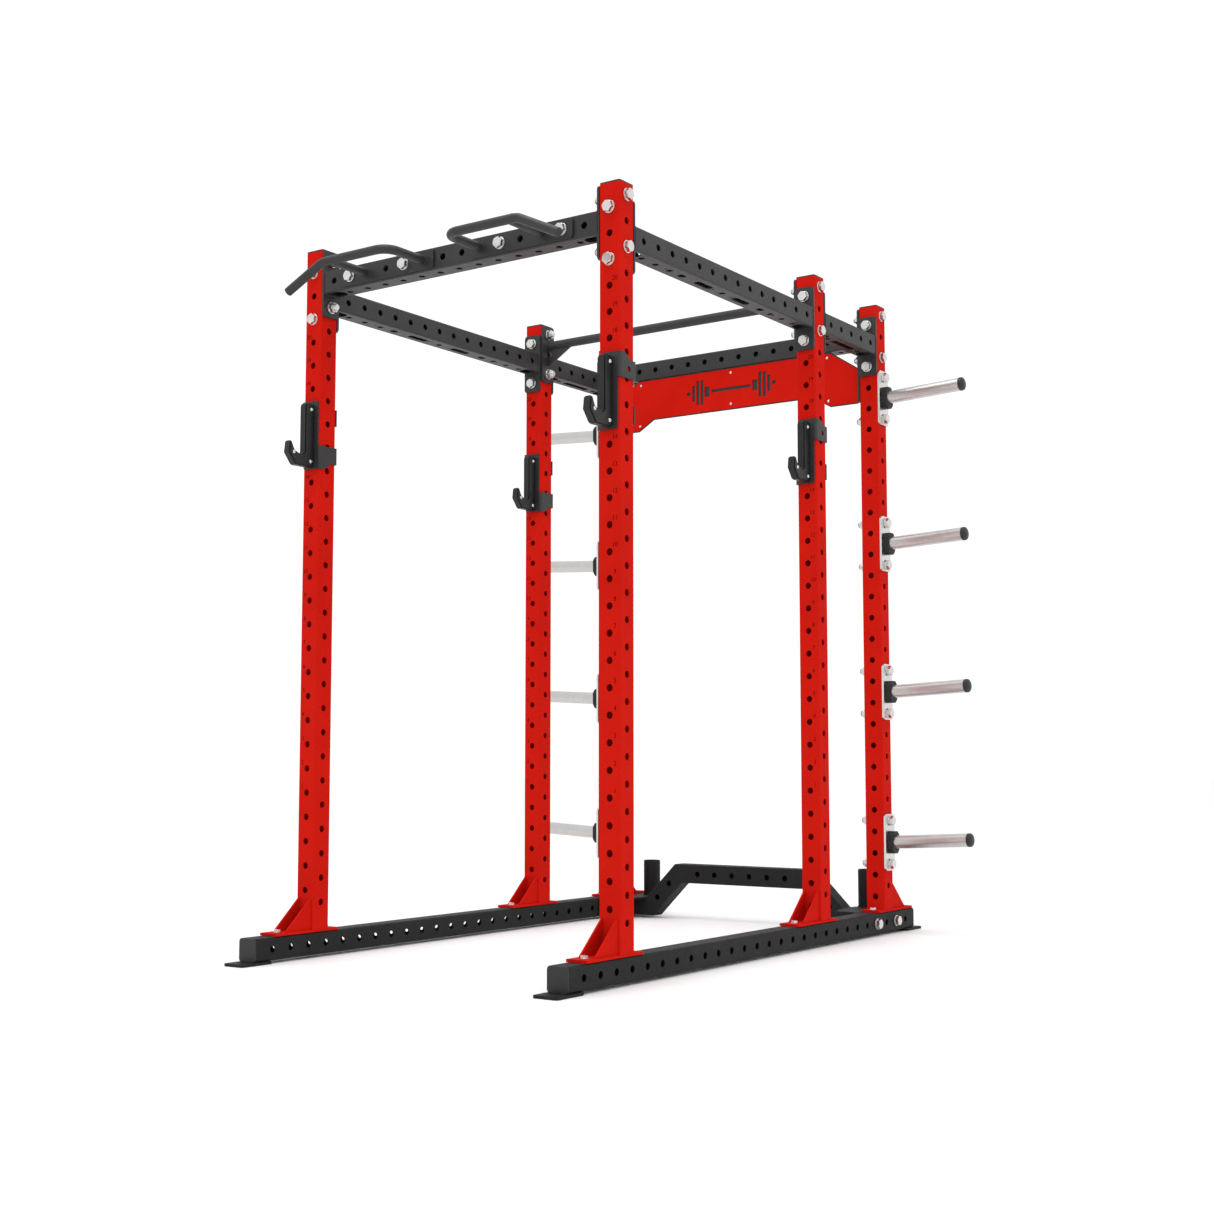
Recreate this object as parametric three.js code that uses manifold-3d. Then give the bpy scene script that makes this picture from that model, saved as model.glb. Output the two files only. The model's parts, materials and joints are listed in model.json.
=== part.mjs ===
// Power cage with a plate storage bay, in millimetres, +Z up.
// Origin: centre of the footprint, on the floor. -Y is the lifter's side, +Y the storage side.
import * as THREE from 'three';
import { mergeVertices } from 'three/addons/utils/BufferGeometryUtils.js';
import Module from 'manifold-3d';

const wasm = await Module();
wasm.setup();

// ---- driving dimensions ----------------------------------------------------------------

const GAP = 0.3; // between pieces that touch
const PITCH = 75; // hole spacing of every tube
const TUBE = 70; // square tube, outside
const WALL = 4; // tube wall
const HALF = TUBE / 2;
const PLATE = 8; // flange, base and foot plates
const HOLE_R = 10.5; // adjustment holes

const POST_X = 575; // upright centres, either side
const POST_Y = { front: -775, mid: 375, rear: 845 };
const POST_TOP = 2225.5;
const HEIGHT = 2230.5; // over the end caps
const HOLE_ZERO = 430.5; // height of face hole 0; the side holes are half a pitch off

const RUNNER_BOTTOM = PLATE;
const RUNNER_TOP = RUNNER_BOTTOM + TUBE;
const RUNNER_LENGTH = 2080;
const FOOT = { width: 80, length: 120, tip: 1100 };

const BASE = { toe: 187, heel: 79, gussetReach: 103, gussetTop: 182, gussetThick: 6, gussetInset: 7 };

const FLANGE_HALF = 107; // beam end plates, up and down from the beam's centre
const CROSS_Z = HOLE_ZERO + 22.5 * PITCH; // front and rear top crossmembers
const SIDE_Z = HOLE_ZERO + 22 * PITCH; // side beams
const SLOT = { width: 24, long: 150, short: 90, offset: 111 }; // under the side beams
const ACCESS = { length: 62, width: 44 }; // spanner openings under a beam, next to its end plates

const BAR = { r: 16, z: 2150, gussetReach: 103, gussetBottom: 2076 };
const GRIP = { r: 14, reach: 159, inner: 112, arm: 345, bend: 374.6, tipX: 523, tipDrop: 69.5, corner: 45 };
const GRIP_PLATE = { from: 70, to: 451, height: 58, thick: 6, hole: 262.5 };

const NAME = { thick: 3, front: 815, top: 2078.5, bottom: 1926, ear: 1885, endTop: 2006, lip: 4 };
const NAME_BEND = { topX: 417, bottomX: 350, earX: 418 }; // corners of the outline, either side of its middle
const REAR_PLATE_BOTTOM = 1884; // the rear crossmember's end plates reach down past the nameplate

const LOW = { y: 895, z: 173, lowZ: 43, bend: 275, flangeFrom: 715, flangeTo: 935 };
const SHELF = { half: 145, tipX: 451, rootX: 419 }; // gusset plates in the low crossmember's corners
const HOLDER = { x: 464, y: LOW.y + PITCH, r: 32, bore: 27, top: 212 };

const HORN_ROWS = [19.5, 12.5, 5.5, -1.5]; // in pitches above hole 0
const HORN = { r: 23, bore: 19, tilt: 3, length: 290, plateHalf: 98, chamfer: 8 };
const COLLAR = { width: 56, height: 77, thick: 22, chamfer: 15 };
const HORN_CAP = { rim: 8, dome: 11 };

const CUP_ROW = 16;
const CUP = { sheet: 5, clear: 0.5, half: 109, armFrom: 36, armTo: 89, inset: 30, body: 28.5 };
const CUP_SLANT = { fromY: 18, toY: 46.5 }; // the arm's top edge falls between these
const CUP_HOLE = { y: 37, z: 63.5, r: 8 };
const CUP_PIN = { r: 9.8, length: 58 };

// ---- materials -------------------------------------------------------------------------

const red = { color: 0xc41e14, roughness: 0.45, metalness: 0.1 };
const black = { color: 0x2b2b2c, roughness: 0.6, metalness: 0.2 };
const zinc = { color: 0xc4c2c0, roughness: 0.35, metalness: 0.9 };
const plastic = { color: 0x1b1b1c, roughness: 0.7, metalness: 0.0 };
const rubber = { color: 0x161617, roughness: 0.85, metalness: 0.0 };

// ---- solids ----------------------------------------------------------------------------

/** A closed three.js geometry as a manifold solid. */
function solid(geometry) {
  geometry.deleteAttribute('normal');
  geometry.deleteAttribute('uv');
  const merged = mergeVertices(geometry, 1e-3);
  const vertProperties = new Float32Array(merged.attributes.position.array);
  const triVerts = new Uint32Array(merged.index.array);
  return new wasm.Manifold(new wasm.Mesh({ numProp: 3, vertProperties, triVerts }));
}

/** A manifold solid as a three.js geometry. */
function geometryOf(body) {
  const mesh = body.getMesh();
  const geometry = new THREE.BufferGeometry();
  geometry.setAttribute('position', new THREE.BufferAttribute(mesh.vertProperties, 3));
  geometry.setIndex(new THREE.BufferAttribute(mesh.triVerts, 1));
  geometry.computeVertexNormals();
  return geometry;
}

const join = (...bodies) => bodies.reduce((whole, body) => whole.add(body));

/** Box between two corners. */
function block([x0, y0, z0], [x1, y1, z1]) {
  const geometry = new THREE.BoxGeometry(x1 - x0, y1 - y0, z1 - z0);
  geometry.translate((x0 + x1) / 2, (y0 + y1) / 2, (z0 + z1) / 2);
  return solid(geometry);
}

/** Closed outline in two axes, extruded along the third from low to high. */
function prism(outline, axis, low, high) {
  const shape = new THREE.Shape(outline.map(([a, b]) => new THREE.Vector2(a, b)));
  const geometry = new THREE.ExtrudeGeometry(shape, { depth: high - low, bevelEnabled: false });
  geometry.translate(0, 0, low);
  if (axis === 'x') {
    // outline in (y, z)
    geometry.applyMatrix4(new THREE.Matrix4().set(0, 0, 1, 0, 1, 0, 0, 0, 0, 1, 0, 0, 0, 0, 0, 1));
  }
  if (axis === 'y') {
    // outline in (x, z); the extrusion is turned about X, so its depth runs the other way
    geometry.rotateX(Math.PI / 2);
    geometry.translate(0, low + high, 0);
  }
  return solid(geometry);
}

/** Round bar between two points. */
function rod(from, to, radius, sides = 16) {
  const start = new THREE.Vector3(...from);
  const end = new THREE.Vector3(...to);
  const geometry = new THREE.CylinderGeometry(radius, radius, start.distanceTo(end), sides);
  const along = end.clone().sub(start).normalize();
  geometry.applyQuaternion(new THREE.Quaternion().setFromUnitVectors(new THREE.Vector3(0, 1, 0), along));
  geometry.translate(...start.add(end).multiplyScalar(0.5).toArray());
  return solid(geometry);
}

/** Round bar along a curve. */
function bentRod(path, radius, steps, sides = 12) {
  const section = new THREE.Shape();
  section.absarc(0, 0, radius, 0, 2 * Math.PI);
  const options = { extrudePath: path, steps, curveSegments: sides, bevelEnabled: false };
  return solid(new THREE.ExtrudeGeometry(section, options));
}

/** Square tube along an axis, open at both ends. */
function squareTube(axis, low, high) {
  const size = (half, a, b) => {
    const corner = { x: [a, -half, -half], y: [-half, a, -half], z: [-half, -half, a] }[axis];
    const other = { x: [b, half, half], y: [half, b, half], z: [half, half, b] }[axis];
    return block(corner, other);
  };
  return size(HALF, low, high).subtract(size(HALF - WALL, low - 1, high + 1));
}

// ---- upright ---------------------------------------------------------------------------

/** Upright on its base plate, standing at the origin; the toe and gussets point to -Y. */
function makeUpright(pinHole) {
  const bottom = RUNNER_TOP + GAP;
  const plateTop = bottom + PLATE - GAP;
  const foot = block([-HALF, -BASE.toe, bottom], [HALF, BASE.heel, plateTop]);
  const gussetOutline = [
    [-HALF + 1, plateTop - 1],
    [-HALF + 1, BASE.gussetTop],
    [-HALF, BASE.gussetTop],
    [-HALF - BASE.gussetReach, plateTop],
    [-HALF - BASE.gussetReach, plateTop - 1],
  ];
  const gusset = (x) => prism(gussetOutline, 'x', x, x + BASE.gussetThick);
  const tube = squareTube('z', plateTop - 1, POST_TOP);
  const gussetX = HALF - BASE.gussetInset;
  const whole = join(foot, tube, gusset(-gussetX), gusset(gussetX - BASE.gussetThick));
  if (!pinHole) return whole;
  const pinZ = HOLE_ZERO + CUP_ROW * PITCH;
  return whole.subtract(rod([0, -HALF - 1, pinZ], [0, -HALF + WALL + 1, pinZ], HOLE_R));
}

/** End cap on top of an upright. */
function makeUprightCap() {
  return block([-HALF, -HALF, POST_TOP + GAP], [HALF, HALF, HEIGHT]);
}

// ---- base runner -----------------------------------------------------------------------

/** Runner tube with a foot plate welded under each end; local x = 0 is its centre line. */
function makeRunner() {
  const end = RUNNER_LENGTH / 2;
  const tube = squareTube('y', -end, end).translate([0, 0, RUNNER_BOTTOM + HALF]);
  const foot = (sign) => {
    const ends = [sign * FOOT.tip, sign * (FOOT.tip - FOOT.length)].sort((a, b) => a - b);
    return block([-FOOT.width / 2, ends[0], 0], [FOOT.width / 2, ends[1], RUNNER_BOTTOM + 0.01]);
  };
  return join(tube, foot(-1), foot(1));
}

// ---- beams -----------------------------------------------------------------------------

/** Side beam centred on the origin, between two upright faces `span` apart; slots are [offset, length]. */
function makeSideBeam(span, slots) {
  const end = span / 2 - GAP;
  const inner = end - PLATE;
  let beam = squareTube('y', -inner - 1, inner + 1);
  beam = join(
    beam,
    block([-HALF, -end, -FLANGE_HALF], [HALF, -inner, FLANGE_HALF]),
    block([-HALF, inner, -FLANGE_HALF], [HALF, end, FLANGE_HALF]),
  );
  const openings = slots.map(([offset, length]) => [offset, length, SLOT.width]);
  for (const sign of [-1, 1]) {
    openings.push([sign * (inner - ACCESS.length / 2), ACCESS.length, ACCESS.width]);
  }
  for (const [offset, length, width] of openings) {
    const low = [-width / 2, offset - length / 2, -HALF - 1];
    const high = [width / 2, offset + length / 2, -HALF + WALL + 1];
    beam = beam.subtract(block(low, high));
  }
  return beam;
}

/** Crossmember along X between the uprights' inner faces; end plates from low to high. */
function makeCrossmember(plateLow, plateHigh) {
  const end = POST_X - HALF - GAP;
  const inner = end - PLATE;
  let beam = squareTube('x', -inner - 1, inner + 1);
  for (const sign of [-1, 1]) {
    const faces = [sign * inner, sign * end].sort((a, b) => a - b);
    beam = beam.add(block([faces[0], -HALF, plateLow], [faces[1], HALF, plateHigh]));
    const slot = [sign * (inner - ACCESS.length), sign * inner].sort((a, b) => a - b);
    const low = [slot[0], -ACCESS.width / 2, -HALF - 1];
    const high = [slot[1], ACCESS.width / 2, -HALF + WALL + 1];
    beam = beam.subtract(block(low, high));
  }
  return beam;
}

/** Round pull-up bar between the middle uprights, with end plates and gussets. */
function makePullUpBar() {
  const end = POST_X - HALF - GAP;
  const inner = end - PLATE;
  let bar = rod([-inner - 1, 0, BAR.z], [inner + 1, 0, BAR.z], BAR.r, 20);
  for (const sign of [-1, 1]) {
    const faces = [sign * inner, sign * end].sort((a, b) => a - b);
    const low = [faces[0], -HALF, CROSS_Z - FLANGE_HALF];
    bar = bar.add(block(low, [faces[1], HALF, CROSS_Z + FLANGE_HALF]));
    const gusset = [
      [sign * (inner + 1), BAR.z],
      [sign * (inner + 1), BAR.gussetBottom],
      [sign * (inner - PLATE), BAR.gussetBottom],
      [sign * (inner - BAR.gussetReach), BAR.z - BAR.r],
      [sign * (inner - BAR.gussetReach), BAR.z],
    ];
    bar = bar.add(prism(sign > 0 ? gusset.reverse() : gusset, 'y', -PLATE / 2, PLATE / 2));
  }
  return bar;
}

// ---- pull-up handles -------------------------------------------------------------------

/** Handle on a mounting plate. The plate's back is at y = 0; hand is +1 right, -1 left. */
function makeMultiGrip(hand) {
  const halfHeight = GRIP_PLATE.height / 2;
  const spread = [hand * GRIP_PLATE.from, hand * GRIP_PLATE.to].sort((a, b) => a - b);
  const front = -GRIP_PLATE.thick;
  const plate = block([spread[0], front, -halfHeight], [spread[1], 0, halfHeight]);
  const point = (x, y, z) => new THREE.Vector3(hand * x, y, z);
  const y = front - GRIP.reach;
  const path = new THREE.CurvePath();
  path.add(new THREE.LineCurve3(point(GRIP.inner, front + 1, 0), point(GRIP.inner, y + GRIP.corner, 0)));
  path.add(new THREE.QuadraticBezierCurve3(
    point(GRIP.inner, y + GRIP.corner, 0),
    point(GRIP.inner, y, 0),
    point(GRIP.inner + GRIP.corner, y, 0),
  ));
  path.add(new THREE.LineCurve3(point(GRIP.inner + GRIP.corner, y, 0), point(GRIP.bend, y, 0)));
  const frame = bentRod(path, GRIP.r, 26);
  const grip = rod([hand * GRIP.bend, y, 0], [hand * GRIP.tipX, y, -GRIP.tipDrop], GRIP.r, 14);
  const knuckle = new THREE.SphereGeometry(GRIP.r, 14, 8);
  knuckle.translate(hand * GRIP.bend, y, 0);
  const arm = rod([hand * GRIP.arm, front + 1, 0], [hand * GRIP.arm, y, 0], GRIP.r - 1, 12);
  const hole = rod([hand * GRIP_PLATE.hole, front - 1, 0], [hand * GRIP_PLATE.hole, 1, 0], HOLE_R);
  return join(plate, frame, grip, solid(knuckle), arm).subtract(hole);
}

// ---- nameplate -------------------------------------------------------------------------

/** Nameplate outline in (x, z), grown downwards and at the ears by `grow`. */
function nameOutline(grow) {
  const end = POST_X - HALF - PLATE - 2 * GAP;
  const right = [
    [0, NAME.bottom - grow],
    [NAME_BEND.bottomX, NAME.bottom - grow],
    [NAME_BEND.earX, NAME.ear - grow],
    [end, NAME.ear - grow],
    [end, NAME.endTop + grow],
    [NAME_BEND.topX + grow, NAME.top + grow],
    [0, NAME.top + grow],
  ];
  const left = right.slice(1, -1).reverse().map(([x, z]) => [-x, z]);
  return [...right.slice(0, 1), ...right.slice(1, -1), ...right.slice(-1), ...left];
}

/** Red face plate. */
function makeNameplateFace() {
  return prism(nameOutline(0), 'y', NAME.front, NAME.front + NAME.thick);
}

/** Black backing plate behind the face plate. */
function makeNameplateBacker() {
  const front = NAME.front + NAME.thick + GAP;
  return prism(nameOutline(NAME.lip), 'y', front, front + NAME.thick);
}

// ---- low rear crossmember --------------------------------------------------------------

/** Outline in (x, z) of the raised crossmember, its walls moved inwards by `inset`. */
function lowOutline(inset, end) {
  const half = HALF - inset;
  const shift = half * Math.tan(Math.PI / 8);
  const foot = LOW.bend + LOW.z - LOW.lowZ;
  const right = [
    [LOW.bend - shift, LOW.z - half],
    [foot - shift, LOW.lowZ - half],
    [end, LOW.lowZ - half],
    [end, LOW.lowZ + half],
    [foot + shift, LOW.lowZ + half],
    [LOW.bend + shift, LOW.z + half],
  ];
  const left = right.map(([x, z]) => [-x, z]).reverse();
  return [...right, ...left];
}

/** Raised crossmember with end flanges and the gusset shelves that carry the bar holders. */
function makeLowCrossmember() {
  const end = POST_X - HALF - GAP;
  const inner = end - PLATE;
  let beam = prism(lowOutline(0, inner + 1), 'y', LOW.y - HALF, LOW.y + HALF);
  const core = prism(lowOutline(WALL, inner), 'y', LOW.y - HALF + WALL, LOW.y + HALF - WALL);
  beam = beam.subtract(core);
  for (const x of [-2.5, -1.5, -0.5, 0.5, 1.5, 2.5]) {
    const at = (y) => [x * PITCH, y, LOW.z];
    beam = beam.subtract(rod(at(LOW.y - HALF - 1), at(LOW.y - HALF + WALL + 1), HOLE_R, 10));
  }
  for (const sign of [-1, 1]) {
    const faces = [sign * inner, sign * end].sort((a, b) => a - b);
    const low = [faces[0], LOW.flangeFrom, RUNNER_BOTTOM];
    beam = beam.add(block(low, [faces[1], LOW.flangeTo, RUNNER_TOP]));
    const shelf = [
      [inner + 1, LOW.y - SHELF.half],
      [SHELF.tipX, LOW.y - SHELF.half],
      [SHELF.rootX, LOW.y - HALF],
      [SHELF.rootX, LOW.y + HALF],
      [SHELF.tipX, LOW.y + SHELF.half],
      [inner + 1, LOW.y + SHELF.half],
    ].map(([x, y]) => [sign * x, y]);
    beam = beam.add(prism(sign > 0 ? shelf.reverse() : shelf, 'z', RUNNER_TOP - PLATE, RUNNER_TOP));
  }
  return beam;
}

/** Upright tube that holds the end of a stored barbell. */
function makeBarHolder() {
  const bottom = RUNNER_TOP + GAP;
  const tube = rod([0, 0, bottom], [0, 0, HOLDER.top], HOLDER.r, 24);
  return tube.subtract(rod([0, 0, bottom - 1], [0, 0, HOLDER.top + 1], HOLDER.bore, 24));
}

// ---- weight horns ----------------------------------------------------------------------

/** Rectangle with cut corners, in two axes, about the origin. */
function chamferedOutline(halfA, halfB, cut) {
  return [
    [halfA - cut, -halfB],
    [halfA, -halfB + cut],
    [halfA, halfB - cut],
    [halfA - cut, halfB],
    [-halfA + cut, halfB],
    [-halfA, halfB - cut],
    [-halfA, -halfB + cut],
    [-halfA + cut, -halfB],
  ];
}

const hornAlong = (distance) => {
  const tilt = THREE.MathUtils.degToRad(HORN.tilt);
  return [PLATE + GAP + distance * Math.cos(tilt), 0, distance * Math.sin(tilt)];
};

/** Horn plate and sleeve; x = 0 is the upright's outer face, the sleeve points to +X. */
function makeHorn() {
  const plate = prism(chamferedOutline(HALF, HORN.plateHalf, HORN.chamfer), 'x', GAP, PLATE + GAP);
  const sleeve = rod(hornAlong(-3), hornAlong(HORN.length), HORN.r, 20);
  const bore = rod(hornAlong(2), hornAlong(HORN.length + 2), HORN.bore, 20);
  return join(plate, sleeve).subtract(bore);
}

/** Rubber collar round the root of the sleeve. */
function makeHornCollar() {
  const face = PLATE + 2 * GAP;
  const outline = chamferedOutline(COLLAR.width / 2, COLLAR.height / 2, COLLAR.chamfer);
  const body = prism(outline, 'x', face, face + COLLAR.thick);
  return body.subtract(rod(hornAlong(-20), hornAlong(COLLAR.thick + 20), HORN.r + GAP, 20));
}

/** Domed end cap of the sleeve. */
function makeHornCap() {
  const radius = HORN.r + 0.5;
  const profile = [new THREE.Vector2(0, 0), new THREE.Vector2(radius, 0), new THREE.Vector2(radius, HORN_CAP.rim)];
  for (let step = 1; step <= 4; step += 1) {
    const angle = (step / 4) * (Math.PI / 2);
    const r = step === 4 ? 0 : radius * Math.cos(angle);
    profile.push(new THREE.Vector2(r, HORN_CAP.rim + HORN_CAP.dome * Math.sin(angle)));
  }
  const cap = new THREE.LatheGeometry(profile, 20);
  const tilt = THREE.MathUtils.degToRad(HORN.tilt);
  cap.rotateZ(tilt - Math.PI / 2);
  cap.rotateX(Math.PI / 2);
  cap.translate(...hornAlong(HORN.length + GAP));
  return solid(cap);
}

// ---- J-cups ----------------------------------------------------------------------------
// Local frame: the pin's axis is Y, y = 0 is the upright's face, -Y is towards the lifter.
// On a right-hand cup the upper arm wraps the +X side and the lower arm the -X side.

/** Bracket: face plate, two arms that wrap round to the upright's back, and the pin. */
function makeCupBracket(hand) {
  const back = -CUP.clear;
  const front = back - CUP.sheet;
  const near = HALF + CUP.clear;
  const far = near + CUP.sheet;
  const lipY = TUBE + CUP.clear;
  const lipEnd = lipY + CUP.sheet;
  const plate = block([-CUP.inset, front, -CUP.half], [CUP.inset, back, CUP.half]);
  const armOutline = [
    [front, CUP.armFrom],
    [lipEnd, CUP.armFrom],
    [lipEnd, CUP.armTo],
    [CUP_SLANT.toY, CUP.armTo],
    [CUP_SLANT.fromY, CUP.half],
    [front, CUP.half],
  ];
  const arm = (side) => {
    const upper = armOutline.map(([y, z]) => [y, z]);
    const outline = side > 0 ? upper : upper.map(([y, z]) => [y, -z]).reverse();
    const faces = [side * near, side * far].sort((a, b) => a - b);
    const zs = [side * CUP.armFrom, side * CUP.half].sort((a, b) => a - b);
    const lipZs = [side * CUP.armFrom, side * CUP.armTo].sort((a, b) => a - b);
    const webXs = [side * (CUP.inset - 1), side * (near + 1)].sort((a, b) => a - b);
    const lipXs = [side * -HALF, side * (near + 1)].sort((a, b) => a - b);
    return join(
      prism(outline, 'x', faces[0], faces[1]),
      block([webXs[0], front, zs[0]], [webXs[1], back, zs[1]]),
      block([lipXs[0], lipY, lipZs[0]], [lipXs[1], lipEnd, lipZs[1]]),
    );
  };
  const holeAt = (x) => [x, CUP_HOLE.y, CUP_HOLE.z];
  const hole = rod(holeAt(near - 2), holeAt(far + 2), CUP_HOLE.r, 14);
  const pin = rod([0, front + 1, 0], [0, CUP_PIN.length, 0], CUP_PIN.r, 20);
  const bracket = join(plate, arm(1), arm(-1), pin).subtract(hole);
  return hand > 0 ? bracket : bracket.mirror([1, 0, 0]);
}

/** Moulded J-shaped body that carries the bar. */
function makeCupBody() {
  const back = -CUP.clear - CUP.sheet - GAP;
  const outline = [
    [back, -104.5],
    [back, 97],
    [-40, 97],
    [-40, -55],
    [-43, -62.5],
    [-50, -66.5],
    [-60, -67],
    [-73, -64.5],
    [-86, -57],
    [-95, -44],
    [-100.5, -31],
    [-103.5, -31],
    [-109.5, -68],
    [-80, -104.5],
  ];
  return prism(outline, 'x', -CUP.body / 2, CUP.body / 2);
}

// ---- assembly --------------------------------------------------------------------------

const cage = new THREE.Group();

/** Names a piece, gives it its own material and stands it in its place. */
function place(name, body, look, position = [0, 0, 0], turn = 0) {
  const mesh = new THREE.Mesh(geometryOf(body), new THREE.MeshStandardMaterial(look));
  mesh.name = name;
  mesh.position.set(...position);
  mesh.rotation.z = turn;
  cage.add(mesh);
}

const sides = [['left', -1], ['right', 1]];

const pinnedUpright = makeUpright(true);
const plainUpright = makeUpright(false);
const uprightCap = makeUprightCap();
const runner = makeRunner();

for (const [side, sign] of sides) {
  place(`base_runner_${side}`, runner, black, [sign * POST_X, 0, 0]);
  for (const [row, y] of Object.entries(POST_Y)) {
    const rear = row === 'rear';
    const at = [sign * POST_X, y, 0];
    place(`upright_${row}_${side}`, rear ? plainUpright : pinnedUpright, red, at, rear ? Math.PI : 0);
    place(`upright_cap_${row}_${side}`, uprightCap, plastic, at);
  }
}

const bays = [
  ['front', POST_Y.front, POST_Y.mid, [[-SLOT.offset, SLOT.short], [SLOT.offset, SLOT.short]]],
  ['rear', POST_Y.mid, POST_Y.rear, [[0, SLOT.long]]],
];
for (const [bay, from, to, slots] of bays) {
  const beam = makeSideBeam(to - from - TUBE, slots);
  for (const [side, sign] of sides) {
    place(`side_beam_${bay}_${side}`, beam, black, [sign * POST_X, (from + to) / 2, SIDE_Z]);
  }
}

const frontBeam = makeCrossmember(-FLANGE_HALF, FLANGE_HALF);
const rearBeam = makeCrossmember(REAR_PLATE_BOTTOM - CROSS_Z, FLANGE_HALF);
place('front_crossmember', frontBeam, black, [0, POST_Y.front, CROSS_Z]);
place('rear_crossmember', rearBeam, black, [0, POST_Y.rear, CROSS_Z]);
place('pull_up_bar', makePullUpBar(), black, [0, POST_Y.mid, 0]);
for (const [side, sign] of sides) {
  place(`multi_grip_${side}`, makeMultiGrip(sign), black, [0, POST_Y.front - HALF - GAP, CROSS_Z]);
}

place('nameplate_face', makeNameplateFace(), red);
place('nameplate_backer', makeNameplateBacker(), black);

place('low_crossmember', makeLowCrossmember(), black);
const holder = makeBarHolder();
for (const [side, sign] of sides) {
  place(`bar_holder_${side}`, holder, black, [sign * HOLDER.x, HOLDER.y, 0]);
}

const horn = makeHorn();
const hornCollar = makeHornCollar();
const hornCap = makeHornCap();
for (const [side, sign] of sides) {
  HORN_ROWS.forEach((row, index) => {
    const at = [sign * (POST_X + HALF), POST_Y.rear, HOLE_ZERO + row * PITCH];
    const turn = sign > 0 ? 0 : Math.PI;
    place(`horn_${side}_${index + 1}`, horn, zinc, at, turn);
    place(`horn_collar_${side}_${index + 1}`, hornCollar, rubber, at, turn);
    place(`horn_cap_${side}_${index + 1}`, hornCap, plastic, at, turn);
  });
}

const cupBody = makeCupBody();
for (const [side, sign] of sides) {
  const bracket = makeCupBracket(sign);
  for (const row of ['front', 'mid']) {
    const at = [sign * POST_X, POST_Y[row] - HALF, HOLE_ZERO + CUP_ROW * PITCH];
    place(`jcup_bracket_${row}_${side}`, bracket, black, at);
    place(`jcup_body_${row}_${side}`, cupBody, plastic, at);
  }
}

export default cage;
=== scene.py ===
"""A power cage: perforated tubes, plates, hardware and finishes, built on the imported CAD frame."""

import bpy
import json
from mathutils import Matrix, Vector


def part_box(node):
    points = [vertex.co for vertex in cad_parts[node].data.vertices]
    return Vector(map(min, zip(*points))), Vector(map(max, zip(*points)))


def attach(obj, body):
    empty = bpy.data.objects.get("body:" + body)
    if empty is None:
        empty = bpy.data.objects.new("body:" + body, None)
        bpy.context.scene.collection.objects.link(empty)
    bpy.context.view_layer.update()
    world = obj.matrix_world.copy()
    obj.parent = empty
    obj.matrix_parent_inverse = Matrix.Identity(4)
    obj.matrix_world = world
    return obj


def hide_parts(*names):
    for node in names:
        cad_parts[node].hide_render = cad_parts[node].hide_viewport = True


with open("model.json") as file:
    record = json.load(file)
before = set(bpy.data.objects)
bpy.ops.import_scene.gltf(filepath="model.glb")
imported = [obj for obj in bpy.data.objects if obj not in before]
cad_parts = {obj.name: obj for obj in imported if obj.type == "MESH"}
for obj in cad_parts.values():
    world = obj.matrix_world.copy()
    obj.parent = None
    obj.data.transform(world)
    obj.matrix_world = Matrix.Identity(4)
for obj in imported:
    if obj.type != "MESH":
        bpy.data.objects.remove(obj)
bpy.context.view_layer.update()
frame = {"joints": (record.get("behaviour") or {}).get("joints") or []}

import json
import math

import bmesh
import bpy
import numpy as np
from mathutils import Matrix, Vector

# ---- sizes, in metres ----

MM = 0.001
PITCH = 75 * MM  # spacing of the adjustment holes
HOLE = 10.5 * MM  # their radius
WALL = 4 * MM
CORNER = 5.5 * MM  # outer corner radius of the tubes
PLATE = 8 * MM
BOLT_HOLE = 9 * MM  # radius
EDGE = 0.7 * MM  # rounding of a cut plate's rims
SKIN = 0.3 * MM  # gap between touching pieces
NUMBERS = range(1, 21)

SIDES = (("left", -1), ("right", 1))
ROWS = ("front", "mid", "rear")
cup_joint = {joint["name"]: Vector(joint["pos_m"]) for joint in frame["joints"]}
hole_zero = cup_joint["jcup_twist_front_left"].z - 16 * PITCH


def middle(node):
    """Centre of a CAD node's box."""
    low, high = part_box(node)
    return (low + high) / 2


cap_low, cap_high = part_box("upright_cap_front_right")
HALF = (cap_high.x - cap_low.x) / 2
post_x = middle("upright_cap_front_right").x
post_y = {row: middle(f"upright_cap_{row}_right").y for row in ROWS}
post_low, post_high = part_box("upright_front_right")
base_top = post_low.z + PLATE - SKIN
cross_z = hole_zero + 22.5 * PITCH
flange_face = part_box("front_crossmember")[1].x - PLATE
PLATE_BOLTS = (cross_z - PITCH, cross_z + PITCH)

# ---- outlines ----


def rounded(corners, radius=0.0, steps=5):
    """Outline through corners (a, b) or (a, b, own radius), with each corner turned into an arc."""
    outline = []
    for index, corner in enumerate(corners):
        own = corner[2] if len(corner) > 2 else radius
        here = Vector(corner[:2])
        before = Vector(corners[index - 1][:2]) - here
        after = Vector(corners[(index + 1) % len(corners)][:2]) - here
        if own <= 0:
            outline.append(here)
            continue
        half = before.angle(after) / 2
        reach = min(own / math.tan(half), 0.49 * before.length, 0.49 * after.length)
        own = reach * math.tan(half)
        centre = here + (before.normalized() + after.normalized()).normalized() * own / math.sin(half)
        start = here + before.normalized() * reach - centre
        sweep = math.pi - 2 * half
        sign = 1 if before.x * after.y - before.y * after.x < 0 else -1
        for step in range(steps + 1):
            angle = sign * sweep * step / steps
            turned = Vector((
                start.x * math.cos(angle) - start.y * math.sin(angle),
                start.x * math.sin(angle) + start.y * math.cos(angle),
            ))
            outline.append(centre + turned)
    return outline


def rectangle(low_a, low_b, high_a, high_b, radius=0.0, steps=5):
    """Rectangle outline between two corners, with round corners."""
    return rounded([(low_a, low_b), (high_a, low_b), (high_a, high_b), (low_a, high_b)], radius, steps)


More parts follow.
